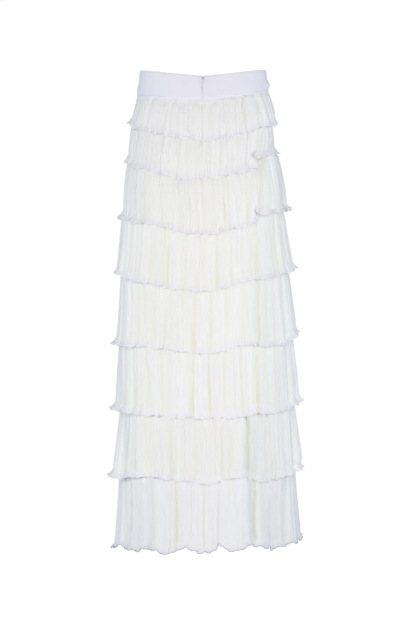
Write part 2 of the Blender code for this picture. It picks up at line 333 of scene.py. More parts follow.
# the waistband's valley and cool colours are painted shade: along the zip, where it lies back, and a dark
# spot at the zip's top
looks["waistband"] = {
    **looks["chiffon"], "body": (0.85, 0.845, 0.935), "frill": (0.83, 0.825, 0.90),
    "paintedValleyShade": (0.79, 0.80, 0.73), "paintedCoolShade": (0.16, 0.16, 0.2), "tone": (0.98, 0.98, 0.985),
    "cloud": (0.985, 0.985, 0.99), "crinkleAndShade": (0.995, 0.995, 0.995), "threads": 1300.0, "roughness": 0.7,
    "bump": 0.15, "specular": 0.3, "sheen": 0.06,
}
looks["heading"] = {**looks["chiffon"], "body": (0.90, 0.907, 0.92), "frill": (0.89, 0.885, 0.96)}
# the lowest hem's edging: a dark blue-grey copy of the edging, as painted shade along the bottom hem
looks["lowEdgingPaintedShade"] = {**looks["edging"], "body": (0.58, 0.62, 0.74), "frill": (0.58, 0.62, 0.74)}
finishes = {name: fabric(name, look) for name, look in looks.items()}


paints = {
    "slider": {"name": "zipSlider", "colour": (0.78, 0.78, 0.85), "worn": (0.68, 0.68, 0.75),
               "roughness": 0.4, "metallic": 0.1},
    "tab": {"name": "zipTab", "colour": (0.76, 0.77, 0.84), "worn": (0.70, 0.71, 0.78),
            "roughness": 0.42, "metallic": 0.05},
}
hinge = {
    "centre": (0.0, -0.1002, -0.02566),
    "near": 0.0010,  # metres from the centre: dark patch of bare metal and painted shade up to near, all enamel past far
    "far": 0.0024,
    "metal": (0.07, 0.07, 0.11),
    "patches": 600.0,
    "bump": 0.1,
    "relief": 0.0001,
}


def enamel(look):  # paint, rubbed darker in patches, with a near-black patch round the hinge: rubbed bare metal, and painted shade of the dark hole at the pivot
    made, tree = newMaterial(look["name"])
    place = addNode(tree, "TexCoord")["Object"]
    patches = addNode(tree, "TexNoise", {"Vector": place, "Scale": hinge["patches"]})["Fac"]
    distance = addNode(tree, "VectorMath", {0: place, 1: hinge["centre"]}, operation="DISTANCE")["Value"]
    bareAndShaded = addNode(tree, "MapRange", {"Value": distance, "From Min": hinge["far"], "From Max": hinge["near"]})
    paint = mixColour(tree, patches, look["colour"], look["worn"])
    colour = mixColour(tree, bareAndShaded["Result"], paint, hinge["metal"])
    plain = {"Roughness": look["roughness"], "Metallic": look["metallic"]}
    shade(tree, colour, plain, (patches, hinge["bump"], hinge["relief"]))
    return made


tapeLook = {
    "colour": (0.66, 0.66, 0.74),
    "ridgeColour": (0.78, 0.78, 0.86),
    "ridges": 900.0,
    "wander": 1.0,
    "bump": 0.3,
    "relief": 0.0002,
    "roughness": 0.8,
}


def tapeFabric():  # fine slanting ridges, on Object coordinates
    made, tree = newMaterial("zipTape")
    place = addNode(tree, "TexCoord")["Object"]
    wave = {"Vector": place, "Scale": tapeLook["ridges"], "Distortion": tapeLook["wander"]}
    ridges = addNode(tree, "TexWave", wave, bands_direction="DIAGONAL")["Fac"]
    colour = mixColour(tree, ridges, tapeLook["colour"], tapeLook["ridgeColour"])
    shade(tree, colour, {"Roughness": tapeLook["roughness"]}, (ridges, tapeLook["bump"], tapeLook["relief"]))
    return made


finishes |= {name: enamel(look) for name, look in paints.items()}
finishes["tape"] = tapeFabric()
print("materials made")


def addFloor():  # round pale floor well under the hem: rings of growing radius round a centre
    turns = np.linspace(0, 2 * np.pi, studio["floorPoints"])
    radii = np.array(studio["floorRadii"])[:, None]
    level = np.full((len(radii), len(turns)), studio["floorHeight"])
    grid = np.stack([radii * np.cos(turns), radii * np.sin(turns), level], axis=-1)
    material, tree = newMaterial("floor")
    place = addNode(tree, "TexCoord")["Object"]
    clouds = addNode(tree, "TexNoise", {"Vector": place, "Scale": studio["floorClouds"]})["Fac"]
    paler = tuple(min(1.0, part * studio["floorPaler"]) for part in studio["floorColour"])
    shade(tree, mixColour(tree, clouds, studio["floorColour"], paler), {})
    quads = gridFaces(np.arange(level.size).reshape(level.shape))
    meshObject("floor", grid.reshape(-1, 3), quads, material)


addFloor()
print("floor laid")


# sections of the skirt in millimetres: ellipses that dip at the centre back, 0 degrees, and front, 180
ringColumns = ("sideZ", "halfWidth", "halfDepth", "centreX", "centreY", "dipBack", "dipFront", "tilt")


def ringOf(values):  # a row of millimetres as a ring in metres
    return {key: value * mm for key, value in zip(ringColumns, values)}


def moved(ring, inwards=0.0, down=0.0):  # the ring taken in all round and lowered, in millimetres
    return dict(ring, halfWidth=ring["halfWidth"] - inwards * mm, halfDepth=ring["halfDepth"] - inwards * mm,
                sideZ=ring["sideZ"] - down * mm)


def between(upper, lower, part):  # the rings at these parts of the way down
    return {key: upper[key] + (lower[key] - upper[key]) * part for key in upper}


def ringPoints(ring, degrees, outwards, lift=0.0):
    # point: centre plus half widths times sine and minus cosine, then outwards along the ellipse's own normal
    # height: the side's height, plus the tilt times sine, less the dip times the square of the cosine
    angle = np.radians(degrees)
    across, along = np.sin(angle), np.cos(angle)
    normalX, normalY = across / ring["halfWidth"], -along / ring["halfDepth"]
    size = np.hypot(normalX, normalY)
    x = ring["centreX"] + ring["halfWidth"] * across + normalX / size * outwards * mm
    y = ring["centreY"] - ring["halfDepth"] * along + normalY / size * outwards * mm
    dip = np.where(along > 0, ring["dipBack"], ring["dipFront"])
    z = ring["sideZ"] + ring["tilt"] * across - dip * along**2 + lift * mm
    return np.stack(np.broadcast_arrays(x, y, z), axis=-1)


def arcLength(ring, degrees):  # millimetres round the ring from the first angle, and for each radian
    angle = np.radians(degrees)
    rate = np.hypot(ring["halfWidth"] * np.cos(angle), ring["halfDepth"] * np.sin(angle)) / mm
    step = (rate[1:] + rate[:-1]) / 2 * np.diff(angle)
    return np.concatenate([[0.0], np.cumsum(step)]), rate


def smoothStep(value):  # 0 below 0, 1 above 1, and an S curve between
    value = np.clip(value, 0.0, 1.0)
    return value * value * (3 - 2 * value)


def hump(distance, reach):  # 1 in the middle, falling off to both sides as a Gaussian bell
    return np.exp(-(distance / reach) ** 2)


def wander(along, spread, rng):
    # smooth random line from 0 to 1: random heights at even steps, eased from one to the next by a cosine
    place = (along - along.min()) / spread
    low = np.floor(place).astype(int)
    heights = rng.random(low.max() + 2)
    ease = 0.5 - 0.5 * np.cos(np.pi * (place - low))
    return heights[low] * (1 - ease) + heights[low + 1] * ease


def sway(along, rng, *waves):  # the sum of wandering lines round 0, each with its spread and height
    return sum((wander(along, spread, rng) - 0.5) * height for spread, height in waves)


def clothPlace(along, down):  # the cloth's own metres, across and up, that its weave is read from
    return np.stack(np.broadcast_arrays(along * mm, -down * mm, 0.0), axis=-1)


band = {
    "top": (0.0, 132.5, 97.0, 0.0, 0.0, 20.0, 12.0, 0.7),
    "bottom": (-50.8, 138.0, 102.0, 0.0, -2.0, 17.0, 11.0, 4.7),
    "height": 50.8,
    "thickness": 2.0,
    "zipGap": 0.04,
    "zipOpen": (0.2, 0.13, 0.05),  # how much wider the slit is at the slider, and at what part of the height
    # slow waves, and waves along the lower edge: spread and height
    "soft": ((38.0, 1.0), (90.0, 1.2)),
    "softPart": 0.8,
    "low": (24.0, 0.9),
    "calmAtZip": 3.0,  # degrees
    # where the band stands out: millimetres, degrees and their reach, part of the height and its reach
    "bulges": ((5.2, 84.0, 10.0, 0.67, 0.15), (1.8, 275.0, 10.0, 0.74, 0.15)),
    "pinch": (-1.2, 86.0, 7.0, 0.80, 0.2),  # a drawn-in lower edge: as above, with the part where it starts
    "topRise": 2.5,  # millimetres that the upper edge arches up between the centre and the side
    "topDrop": 0.6,
    # painted shade along the strip that the zip's edges make: millimetres to its side, how far it sways, its
    # speed and start
    "strip": (-0.8, 1.6, 3.4, 0.3),
    "stripHalf": 1.15,
    "stripStrength": 0.75,
    "stripStart": (0.16, 0.1),  # parts of the height
    "stripFade": (0.7, 0.2, 0.8),
    # painted shadow of the gap at the zip's top, as a dark spot
    "gapShadowSpot": (-1.6, 0.54, 1.0, 0.04, 0.3),  # across, down, their reaches, strength
    "recessShadePart": 0.1,  # painted shade for each millimetre that the band lies back
    "toneSpread": 60.0,
    "straightPoints": 14,
    "roundPoints": 4,
    "columns": 420,
    "seed": 3,
}


def bandLoop():
    # the band's section, down and outwards: two straight sides, with a half circle of sines at each edge
    radius, height = band["thickness"] / 2, band["height"]
    straight = np.linspace(0.0, 1.0, band["straightPoints"])
    turn = np.linspace(0.0, np.pi, band["roundPoints"] + 2)[1:-1]
    side = straight * (height - 2 * radius)
    down = np.concatenate([height - radius - side, radius - radius * np.sin(turn),
                           radius + side, height - radius + radius * np.sin(turn)])
    out = np.concatenate([0 * straight, -radius + radius * np.cos(turn), 0 * straight - 2 * radius,
                          -radius - radius * np.cos(turn)])
    return down[:, None], out[:, None]


def bandRise(degrees, part):  # millimetres that the upper edge arches up, less on the way down
    side = np.abs(np.sin(np.radians(degrees)))
    return (band["topRise"] * 4 * side * (1 - side) - band["topDrop"]) * (1 - part) ** 2


def addWaistband():  # the band's section carried round its rings, with slow waves and a slit at the zip
    rng = np.random.default_rng(band["seed"])
    top, bottom = ringOf(band["top"]), ringOf(band["bottom"])
    degrees = np.linspace(0.0, 360.0, band["columns"])
    down, out = bandLoop()
    part = down / band["height"]
    arc, _ = arcLength(bottom, degrees)
    soft = sway(arc, rng, *band["soft"])
    low = sway(arc, rng, band["low"])
    bulge = sum(size * hump(degrees - at, wide) * hump(part - level, high)
                for size, at, wide, level, high in band["bulges"])
    size, at, wide, level, high = band["pinch"]
    pinch = size * hump(degrees - at, wide) * smoothStep((part - level) / high)
    free = 1 - hump(np.minimum(degrees, 360.0 - degrees), band["calmAtZip"])
    outwards = out + (soft * part * band["softPart"] + low * part**3) * free + bulge + pinch
    wider, level, high = band["zipOpen"]
    slit = np.degrees((band["zipGap"] + wider * hump(part - level, high)) * mm / top["halfWidth"])
    points = ringPoints(between(top, bottom, part), degrees + slit * (1 - degrees / 180.0), outwards,
                        bandRise(degrees, part))
    index = np.arange(len(down) * len(degrees)).reshape(len(down), -1)
    quads = [gridFaces(np.vstack([index, index[:1]]))[:, ::-1],
             capFaces(index[:, 0])[:, ::-1], capFaces(index[:, -1])]

    # painted shade: a soft strip along the zip's edges, more where the band lies back, and a dark spot as
    # painted shadow of the gap at the zip's top
    fromZip = np.where(arc > arc[-1] / 2, arc - arc[-1], arc)
    side, size, speed, start = band["strip"]
    strip = hump(fromZip - (side - size * np.sin(speed * part - start)), band["stripHalf"])
    start, length = band["stripStart"]
    fade, over, most = band["stripFade"]
    strip = strip * smoothStep((part - start) / length) * (1 - most * smoothStep((part - fade) / over))
    paintedValleyShade = np.clip(-(soft + low) * band["recessShadePart"], 0, 1) * part + band["stripStrength"] * strip
    at, level, wide, high, strength = band["gapShadowSpot"]
    tone = np.broadcast_to(wander(arc, band["toneSpread"], rng), paintedValleyShade.shape)
    masks = {"paintedValleyShade": paintedValleyShade, "tone": tone, "frill": 0 * paintedValleyShade,
             "paintedCoolShade": strength * hump(fromZip - at, wide) * hump(part - level, high)}
    attributes = {key: mask.ravel() for key, mask in masks.items()}
    attributes = {"cloth": clothPlace(arc, down).reshape(-1, 3), **attributes}
    made = meshObject("waistband_cloth", points.reshape(-1, 3), np.concatenate(quads), finishes["waistband"],
                      attributes)
    settle(made, node="waistband")
    return made, top, bottom


waistband, bandTop, bandBottom = addWaistband()
print("waistband made")


tierColumns = (
    "hemZ", "seamRise", "seamHalf", "hemHalf", "depth", "centreX", "centreY", "dipBack", "dipFront", "tilt",
    "rightSeam", "fold", "frill", "bulge",
)
tierRows = (
    (-111.0, 18.0, 148.5, 155.0, 0.745, 0.0, -8.0, 43.0, 30.0, 1.4, 53.0, 1.5, 5.0, 0.3),
    (-186.0, 18.0, 156.0, 160.5, 0.750, -3.0, -14.0, 47.5, 34.0, 6.3, 54.0, 2.0, 5.0, 0.5),
    (-301.0, 19.0, 169.0, 177.5, 0.750, 4.0, -16.0, 47.5, 34.0, 7.3, 44.0, 3.0, 6.0, 0.9),
    (-420.5, 19.0, 181.0, 186.0, 0.740, 3.0, -14.0, 46.0, 32.0, 4.6, 35.0, 4.0, 6.0, -0.3),
    (-560.5, 20.0, 184.0, 192.0, 0.745, 5.5, -11.0, 32.0, 25.0, 12.4, 36.0, 4.0, 6.5, -0.5),
    (-700.0, 20.0, 187.5, 197.0, 0.755, 9.5, -8.0, 25.0, 19.0, 8.4, 32.0, 5.0, 6.5, 0.0),
    (-841.0, 20.0, 187.5, 200.5, 0.765, 9.5, -6.0, 18.0, 12.0, 6.8, 25.0, 9.0, 7.5, -0.3),
    (-994.0, 20.0, 191.0, 195.0, 0.770, 9.5, -5.0, 3.0, 2.0, 5.0, 29.0, 5.0, 7.0, -0.3),
)
# each tier's finer form: the frill's height and depth, the crease at the right seam, the depth of the folds,
# a pleat's width and depth, the pits between curls, how uneven the hem is, how far the sides stand out (left,
# then right, at the top, the seam line and the hem), how the right seam swings at its ends, and how much
# painted shade is added to the valleys all over the tier
drapeColumns = (
    "frillHeight", "frillDepth", "seamCrease", "folds", "pleat", "pleatPart", "pits", "hemWave",
    "leftTop", "leftLow", "leftHem", "rightTop", "rightLow", "rightHem", "seamTop", "seamLow", "paintedShadeOffset",
)
drapeRows = (
    (19.0, 2.4, 0.8, 1.5, 7.5, 1.7, 1.9, 1.3, -4.5, -5.0, -2.4, -2.2, -1.5, -4.0, 0.0, 0.0, -0.05),
    (18.0, 2.5, 0.9, 1.4, 8.0, 1.6, 2.2, 1.3, -4.0, -5.5, -3.5, -6.5, -9.5, -5.5, 0.0, -5.0, 0.0),
    (14.0, 2.9, 1.1, 1.5, 9.0, 1.5, 2.4, 1.2, -5.5, -4.4, -3.5, -2.4, -2.2, -3.0, 3.0, -4.0, 0.1),
    (14.0, 2.8, 1.2, 1.15, 10.0, 1.1, 2.2, 1.1, 3.5, -3.0, -1.5, -8.0, -2.8, 0.5, 1.5, 1.0, 0.12),
    (15.0, 2.9, 1.2, 1.2, 10.0, 1.1, 2.2, 1.1, -7.0, -2.0, 1.1, -7.6, 0.8, -1.0, 0.0, 0.0, 0.12),
    (17.0, 2.9, 1.2, 1.2, 10.0, 1.2, 2.2, 1.1, -4.0, -1.2, 0.2, -4.0, -1.5, -3.5, 0.0, 0.0, 0.1),
    (17.0, 3.0, 1.2, 1.45, 10.0, 1.4, 2.4, 1.2, -8.4, 1.0, 1.5, -9.6, 1.0, -8.5, 0.0, 0.0, 0.15),
    (14.0, 2.6, 1.2, 1.55, 9.5, 1.5, 2.0, 1.5, -4.5, -4.5, -1.8, -5.5, -2.0, -3.5, 0.0, 0.0, -0.2),
)

leftSeam = -97.0
zipTiers = 2
chiffon = {
    "thickness": 0.5,
    "underGap": 1.3,  # millimetres that each tier hangs inside the one above it
    "clear": 0.35,
    "easeColumns": 3,
    # millimetres that the middle of each tier's top comes out
    "closeTop": {2: 2.0, 3: 4.5, 4: 8.0, 5: 9.0, 6: 10.0, 7: 11.0, 8: 12.0},
    "opening": (0.9, 0.7),  # how much the room under a hem opens for each millimetre down, and how unevenly
    "flarePower": 2.6,
    "middleFlare": 0.8,  # millimetres that the hem flares except at the sides
    "riseHeight": 14.0,  # millimetres over which the folds grow below the gathers
    "lean": (70.0, 9.0),
    "seamGap": 0.015,  # degrees, so that neighbouring panels just part
    "zipGap": 0.05,
    "zipLevel": 2.6,
    "zipFlat": 7.5,
    "frontStep": {2: 19.0, 3: 18.5, 4: 4.0, 5: 3.0},
    "frontReach": 16.0,
    "behindLift": (4.0, 13.0, (110.0, 245.0)),  # the front's hem: millimetres up, reach and middle in degrees
    "lap": {2: 15.0, 3: 10.0, 4: 5.0, 5: 4.0, 6: 4.0, 7: 4.0, 8: 3.0},  # the front's frill over the back's
    "lapReach": 24.0,
    "lapWave": (5.5, 5.0),
    "slantReach": 60.0,
    "allowance": 2.5,
    "edging": 0.55,
    "lowEdgingPaintedShade": 0.8,
    "edgingSides": 6,
    "cutPart": 1.3,  # cloth that goes into each length of gathers
    "seed": 21,
}
folds = {
    "waveSpread": 15.0,
    "wavePart": 0.85,
    # spread, and depth at the gathers and the hem
    "sizes": ((10.0, 1.0, 1.0), (17.0, 0.9, 1.9), (34.0, 0.4, 2.2)),
    "keep": 0.65,  # how much of a fold's line at the gathers lasts to the hem
    "sharp": 0.85,
    "creaseWidth": 1.4,
    "creasePart": 0.8,
    "hiddenTurn": 188.0,
}
pleats = {
    "points": 8,
    "uneven": 0.62,
    "skew": 0.8,
    "depth": (0.6, 0.85),  # at the gathers and at the hem
    "strength": (0.3, 1.4),
    "weak": (0.25, 0.2),  # this part of the pleats has this part of the strength
    "groups": 32.0,
}
frill = {
    "flutes": (0.2, 1.3),
    "fluteDepth": 0.45,
    "curls": 4.0,
    "curlDepth": 0.75,
    "swell": (30.0, 0.45, 1.6),  # spread, the part that counts as none, millimetres
    "groove": (-0.6, 2.0),
    "pits": 3.6,
    "middlePart": 0.7,  # of the depth, at the centre back and front
    "swing": (0.3, 1.5),
    "swingPart": -1.2,
    "swingWave": (5.0, 3.8),
    "ripples": ((7.0, 3.4), (19.0, 3.0)),
    "fineRipple": (4.2, 1.8),
}
# painted shade and tone for the chiffon: a dark tint along the right seam, shade in the valleys and on the
# lowest tier, random tone, and the frill's colour
shades = {
    "seamShadeSize": (1.0, 6.5),
    "foldDepth": 4.0,  # millimetres below the mean of the points near it that give a valley its full painted shade
    "foldPoints": 12,
    "streaks": ((9.0, 0.45), (26.0, 0.35)),
    "streakPart": 0.6,
    "lowestPaintedShade": (0.13, 0.12, 0.4),  # the lowest tier's painted cool shade: all over, towards its hem, and in its frill
    "tone": (0.3, 22.0, 0.7),
    "paintedLightTop": 0.35,
    "frillStart": 0.4,
    "frillLength": 0.6,
    "frillSpread": (9.0, 5.0),
}
bodyRows = np.array([0.0, 0.05, 0.11, 0.19, 0.29, 0.40, 0.52, 0.64, 0.76, 0.88, 1.0])
frillRows = np.array([0.22, 0.40, 0.56, 0.69, 0.80, 0.90, 1.0])

# how much higher than its ring each hem hangs, by turns degrees and millimetres
hemShifts = {
    1: (-97, 0, -88, 1, -78, -3, -66, -6, -22, 2, 11, -3, 21, 2, 36, 1, 47, 4, 66, -4, 76, -4, 88, 0),
    2: (-88, 0, -66, -2, -44, 1, -19, -2, -9, -4, 0, 1, 20, 0, 31, -2, 43, -6, 50, -7, 54, -3),
    3: (-59, 0, -46, 5, -34, 7, -23, 6, -12, 2, -3, -1, 7, 1, 15, 4, 37, 3, 44, 7, 61, -1),
    4: (-62, -4, -42, 2, -32, 5, -14, 1, -6, 0, 5, 1, 14, 6, 23, 10, 31, 10, 36, 5, 48, -1, 57, 3, 69, -3,
        84, 0),
    5: (-58, 2, -35, 11, -22, 7, -12, 4, -2, 0, 7, 1, 15, 5, 20, 8, 30, 3, 35, -4, 41, -10, 54, -12, 69, -10,
        82, 0),
    6: (-52, 2, -31, 3, 2, 2, 12, -2, 34, -1, 44, -9, 56, -7, 72, -4, 82, 0),
    7: (-64, -1, -40, 11, -31, 14, -26, 9, -11, 9, -6, 3, 0, 0, 5, 4, 12, 10, 21, 9, 23, 14, 27, 4, 33, -6,
        42, -7, 50, -4, 64, -4, 80, 0),
    8: (-88, 0, -64, 8, -50, 0, -41, 3, -36, 12, -29, -2, -24, 0, -19, 8, -10, 12, -8, 5, -3, 1, 3, 2,
        5.4, 10, 6.6, 19, 7.8, 11, 13, 3, 20, 6, 25, 12, 29, 13, 34, 6, 44, 0, 56, 4, 61, 9, 73, 5, 80, 9,
        88, 15, 97, 12, 112, 4, 120, 4, 150, 0, 176, 9, 182, 1, 215, 6, 240, 0),
}

# creases laid on the shown side: degrees, depth in millimetres and width in degrees; then, where they
# are not those degrees, 0 and 1, the degrees at its foot and the parts of the height where it starts and ends
creases = {
    1: ((-36, 1.5, 1.2), (-21, 1.2, 1.0, -21, 0, 0.8), (-9.5, 1.4, 0.8, -9.5, 0.1), (-5.5, 0.8, 0.6),
        (7.9, 0.8, 0.7, 7.9, 0, 0.8), (20, 1.4, 1.0, 20, 0.1), (34, 1.2, 1.1), (50, 1.6, 1.1, 50, 0.2),
        (60, 1.6, 1.6, 69)),
    2: ((-63, 2.0, 1.6, -64), (-43, 1.6, 1.1, -43, 0.1), (-27, 1.8, 0.9, -24), (-17, 1.5, 0.8, -17, 0.2),
        (-11.5, 1.5, 0.8, -11.5, 0, 0.8), (-6.8, 0.8, 0.6, -6.8, 0, 0.9), (5.8, 0.8, 0.7, 5.8, 0.1),
        (24, 1.6, 2.0, 21, 0.5, 0.95), (31, 1.4, 0.9), (39, 1.7, 0.9, 39, 0.1), (51, 1.8, 0.8, 51, 0.2)),
    3: ((-65, 2.6, 2.0, -58), (-44, 1.9, 1.0, -49, 0, 0.9), (-33, 1.8, 1.0, -33, 0.1), (-16.5, 1.9, 0.8),
        (-9.6, 1.5, 0.7, -9.6, 0.2), (-1.1, 1.4, 0.7, -1.1, 0, 0.8), (7.4, 1.7, 0.8),
        (13.9, 1.6, 0.7, 13.9, 0.5), (20, 1.9, 0.8, 24), (33, 1.8, 1.0, 33, 0.1), (56, 2.0, 1.3, 57),
        (68, 2.0, 1.4, 72, 0.1)),
    4: ((-60, 2.2, 1.4, -61), (-48, 2.0, 1.1, -49, 0, 0.9), (-37, 1.8, 0.9, -37, 0.2),
        (-25, 1.8, 0.9, -23, 0.4), (-12, 1.9, 0.8), (-1.6, 1.7, 0.8, -1.6, 0.1, 0.9), (7.8, 1.6, 0.7),
        (16.6, 1.6, 0.8, 16.6, 0.2), (24, 1.9, 0.9), (45, 1.9, 1.1, 46), (56, 2.1, 1.2, 57),
        (69, 2.1, 1.4, 73, 0.1)),
    5: ((-73, 2.2, 1.4), (-57, 2.0, 1.2), (-44.6, 3.2, 0.9), (-34.6, 1.9, 0.8, -34.6, 0, 0.9),
        (-25.6, 1.8, 0.8, -25.6, 0.5), (-14, 1.9, 0.8), (-6.5, 1.6, 0.7, -6.5, 0.1),
        (3.9, 1.7, 0.8, 3.9, 0, 0.9), (13, 1.8, 0.8), (23.4, 1.7, 0.9, 23.4, 0.5), (44, 2.0, 1.0),
        (50, 2.3, 1.0, 56), (64, 2.1, 1.2, 64, 0.1), (76, 2.1, 1.4, 80)),
    6: ((-65, 2.1, 1.3, -66), (-54, 2.0, 1.1), (-42, 3.2, 0.9, -38, 0.3), (-29, 1.8, 0.9),
        (-16.6, 1.9, 0.8, -16.6, 0.1), (-7.5, 1.6, 0.7, -7.5, 0, 0.9), (1.4, 1.8, 0.8),
        (10.9, 1.8, 0.8, 10.9, 0.2), (21, 1.9, 0.8), (25, 1.6, 0.7, 25, 0.3), (42, 2.4, 1.0, 37),
        (49.5, 2.0, 1.0), (62, 2.2, 1.2, 63), (76, 2.0, 1.3, 75, 0.2)),
    7: ((-61, 2.1, 1.2), (-42, 2.3, 1.1), (-32, 2.3, 1.0, -30, 0.3), (-22.5, 2.0, 0.9),
        (-13.2, 1.9, 0.8, -13.2, 0.1), (-5.5, 1.7, 0.8), (4.3, 1.9, 0.8), (14.2, 1.9, 0.9, 14.2, 0.2),
        (33.6, 2.1, 0.9), (39.7, 1.9, 0.8, 39.7, 0.1), (46.3, 2.0, 0.9), (55, 2.2, 1.1, 56),
        (68, 2.1, 1.3, 70, 0.1), (-54, -1.8, 1.4, -49)),
    8: ((-57, 2.6, 2.0, -56), (-34, 2.8, 1.2), (-26, 2.0, 0.9, -26, 0.1), (-18.6, 2.4, 0.9),
        (-10.8, 2.4, 0.8, -9, 0.1), (-3.3, 1.9, 0.8, -3.3, 0, 0.9), (7.3, 2.8, 0.8, 6.6, 0.2),
        (15.6, 2.1, 0.9), (35.4, 2.0, 0.9), (37, 2.4, 1.0, 43), (55, 2.3, 1.2, 56), (68, 2.2, 1.4, 67, 0.1),
        (-47, -1.8, 1.4, -46), (-41, -1.8, 1.1)),
}


# painted cool shade for the shaded folds of the shown side: degrees, width in degrees and strength; then as
# above
paintedShadeFolds = {
    1: ((86, 8, 0.25, 72), (-84, 9, 0.2, -68)),
    2: ((-21, 3, 0.15, -19, 0, 0.6), (-10, 4, 0.15, -8, 0, 0.6), (84, 8, 0.1, 66, 0.3),
        (-64, 12, 0.32, -55)),
    3: ((88, 9, 0.75, 70), (-80, 9, 0.2, -66), (-62, 12, 0.3, -52)),
    4: ((60, 3, 0.2, 51), (47, 6, 0.28, 42)),
    5: ((37, 3, 0.25, 34), (44, 3, 0.2, 41), (56, 10, 0.28, 49, 0.1), (88, 6, 0.25, 70)),
    6: ((60, 13, 0.36, 48), (80, 3, 0.1, 63), (92, 4, 0.5, 73, 0.6), (-82, 8, 0.35, -68)),
    7: ((26, 3, 0.4, 24), (31, 3, 0.35, 29, 0.2), (46, 15, 0.42, 40), (74, 6, 0.35, 62), (0, 30, 0.12, -4),
        (-66, 8, 0.3, -57)),
    8: ((-60, 7, 0.36, -55), (-48, 5, 0.3, -46), (-37, 3, 0.4, -36), (26, 2.5, 0.85, 28), (35, 4, 0.45, 38),
        (45, 5, 0.45, 42), (56, 6, 0.5, 52), (72, 5, 0.5, 66), (92, 8, 1.0, 82, 0.1)),
}


def tierOf(values, drape):
    # a tier's two rows as its values, its ring at the seam line that the next tier is sewn to, and its hem's
    tier = dict(zip(tierColumns, values), **dict(zip(drapeColumns, drape)))
    shared = {key: tier[key] * mm for key in ("centreX", "centreY", "dipBack", "dipFront", "tilt")}
    rings = []
    for z, half in ((tier["hemZ"] + tier["seamRise"], tier["seamHalf"]), (tier["hemZ"], tier["hemHalf"])):
        rings.append(dict(shared, sideZ=z * mm, halfWidth=half * mm, halfDepth=half * tier["depth"] * mm))
    return tier, rings[0], rings[1]


def tierSurface(top, seam, hem, bulge):
    # rings row by row: straight from top to seam line with a parabola's bulge, then flaring to the hem
    part = bodyRows[:, None]
    body = between(top, seam, part)
    lower = between(seam, hem, frillRows[:, None])
    for key in ("halfWidth", "halfDepth"):
        body[key] = top[key] + (seam[key] - top[key]) * (part + bulge * part * (1 - part))
        lower[key] = seam[key] + (hem[key] - seam[key]) * frillRows[:, None] ** chiffon["flarePower"]
    return {key: np.vstack([body[key], lower[key]]) for key in body}


def pleatColumns(ring, first, last, width, rng):
    # angles of the columns, several to a pleat: uneven widths set out along the arc, then turned to angles
    fine = np.linspace(first, last, 600)
    arc, _ = arcLength(ring, fine)
    count = round(arc[-1] / width)
    widths = 1 + pleats["uneven"] * rng.uniform(-1, 1, count)
    edges = np.concatenate([[0.0], np.cumsum(widths)]) / widths.sum() * arc[-1]
    phase = np.arange(pleats["points"]) / pleats["points"]
    along = (edges[:-1, None] + np.diff(edges)[:, None] * phase).ravel()
    along = np.append(along, arc[-1])
    phases = np.append(np.tile(phase, count), 0.0)
    pleat = np.append(np.repeat(np.arange(count), len(phase)), count - 1)
    return np.interp(along, arc, fine), along, phases, pleat, count


def mainWaves(degrees, first, last, number):
    # the panel's large waves: uneven widths, and for each its own strength times half of one minus cosine
    waves = max(2, round((last - first) / folds["waveSpread"]))
    order = np.arange(waves)
    widths = 1.0 + 0.35 * np.sin(2.4 * order + 1.7 * number)
    strengths = 0.85 + 0.35 * np.sin(4.1 * order + 2.3 * number + 0.6)
    edges = first + (last - first) * np.concatenate([[0.0], np.cumsum(widths)]) / widths.sum()
    wave = np.clip(np.searchsorted(edges, degrees, side="right") - 1, 0, waves - 1)
    phase = (degrees - edges[wave]) / (edges[wave + 1] - edges[wave])
    return strengths[wave] * (0.5 - 0.5 * np.cos(2 * np.pi * phase))


def hemLift(number, degrees, front, rightSeam):  # millimetres that the hem hangs above its ring
    lift = np.interp(degrees, hemShifts[number][::2], hemShifts[number][1::2], left=0.0, right=0.0)
    if front:
        step = chiffon["frontStep"].get(number, 0.0)
        lift = lift + step * np.exp(-(degrees - rightSeam) / chiffon["frontReach"])
        height, reach, sides = chiffon["behindLift"]
        for side in sides:
            lift = lift + height * hump(degrees - side, reach)
    return lift


def halfDegrees(grid):  # the direction of each point from the middle, as a number from 0 to 719
    return (np.degrees(np.arctan2(grid[..., 0], -grid[..., 1])) * 2).astype(int) % 720


def hangingOver(inner):
    # a hanging panel's inner surface, for each half degree: smallest radius and mean height, row by row
    rows = inner.shape[0]
    radius = np.full((rows, 720), np.inf)
    height, seen = np.zeros((rows, 720)), np.zeros((rows, 720))
    place = halfDegrees(inner)
    row = np.broadcast_to(np.arange(rows)[:, None], place.shape)
    np.minimum.at(radius, (row, place), np.hypot(inner[..., 0], inner[..., 1]))
    np.add.at(height, (row, place), inner[..., 2])
    np.add.at(seen, (row, place), 1.0)
    near = range(-2, 3)
    radius = np.min([np.roll(radius, shift, axis=1) for shift in near], axis=0)
    height = sum(np.roll(height, shift, axis=1) for shift in near)
    seen = sum(np.roll(seen, shift, axis=1) for shift in near)
    return radius, height / np.maximum(seen, 1.0), seen.min(axis=0) > 0


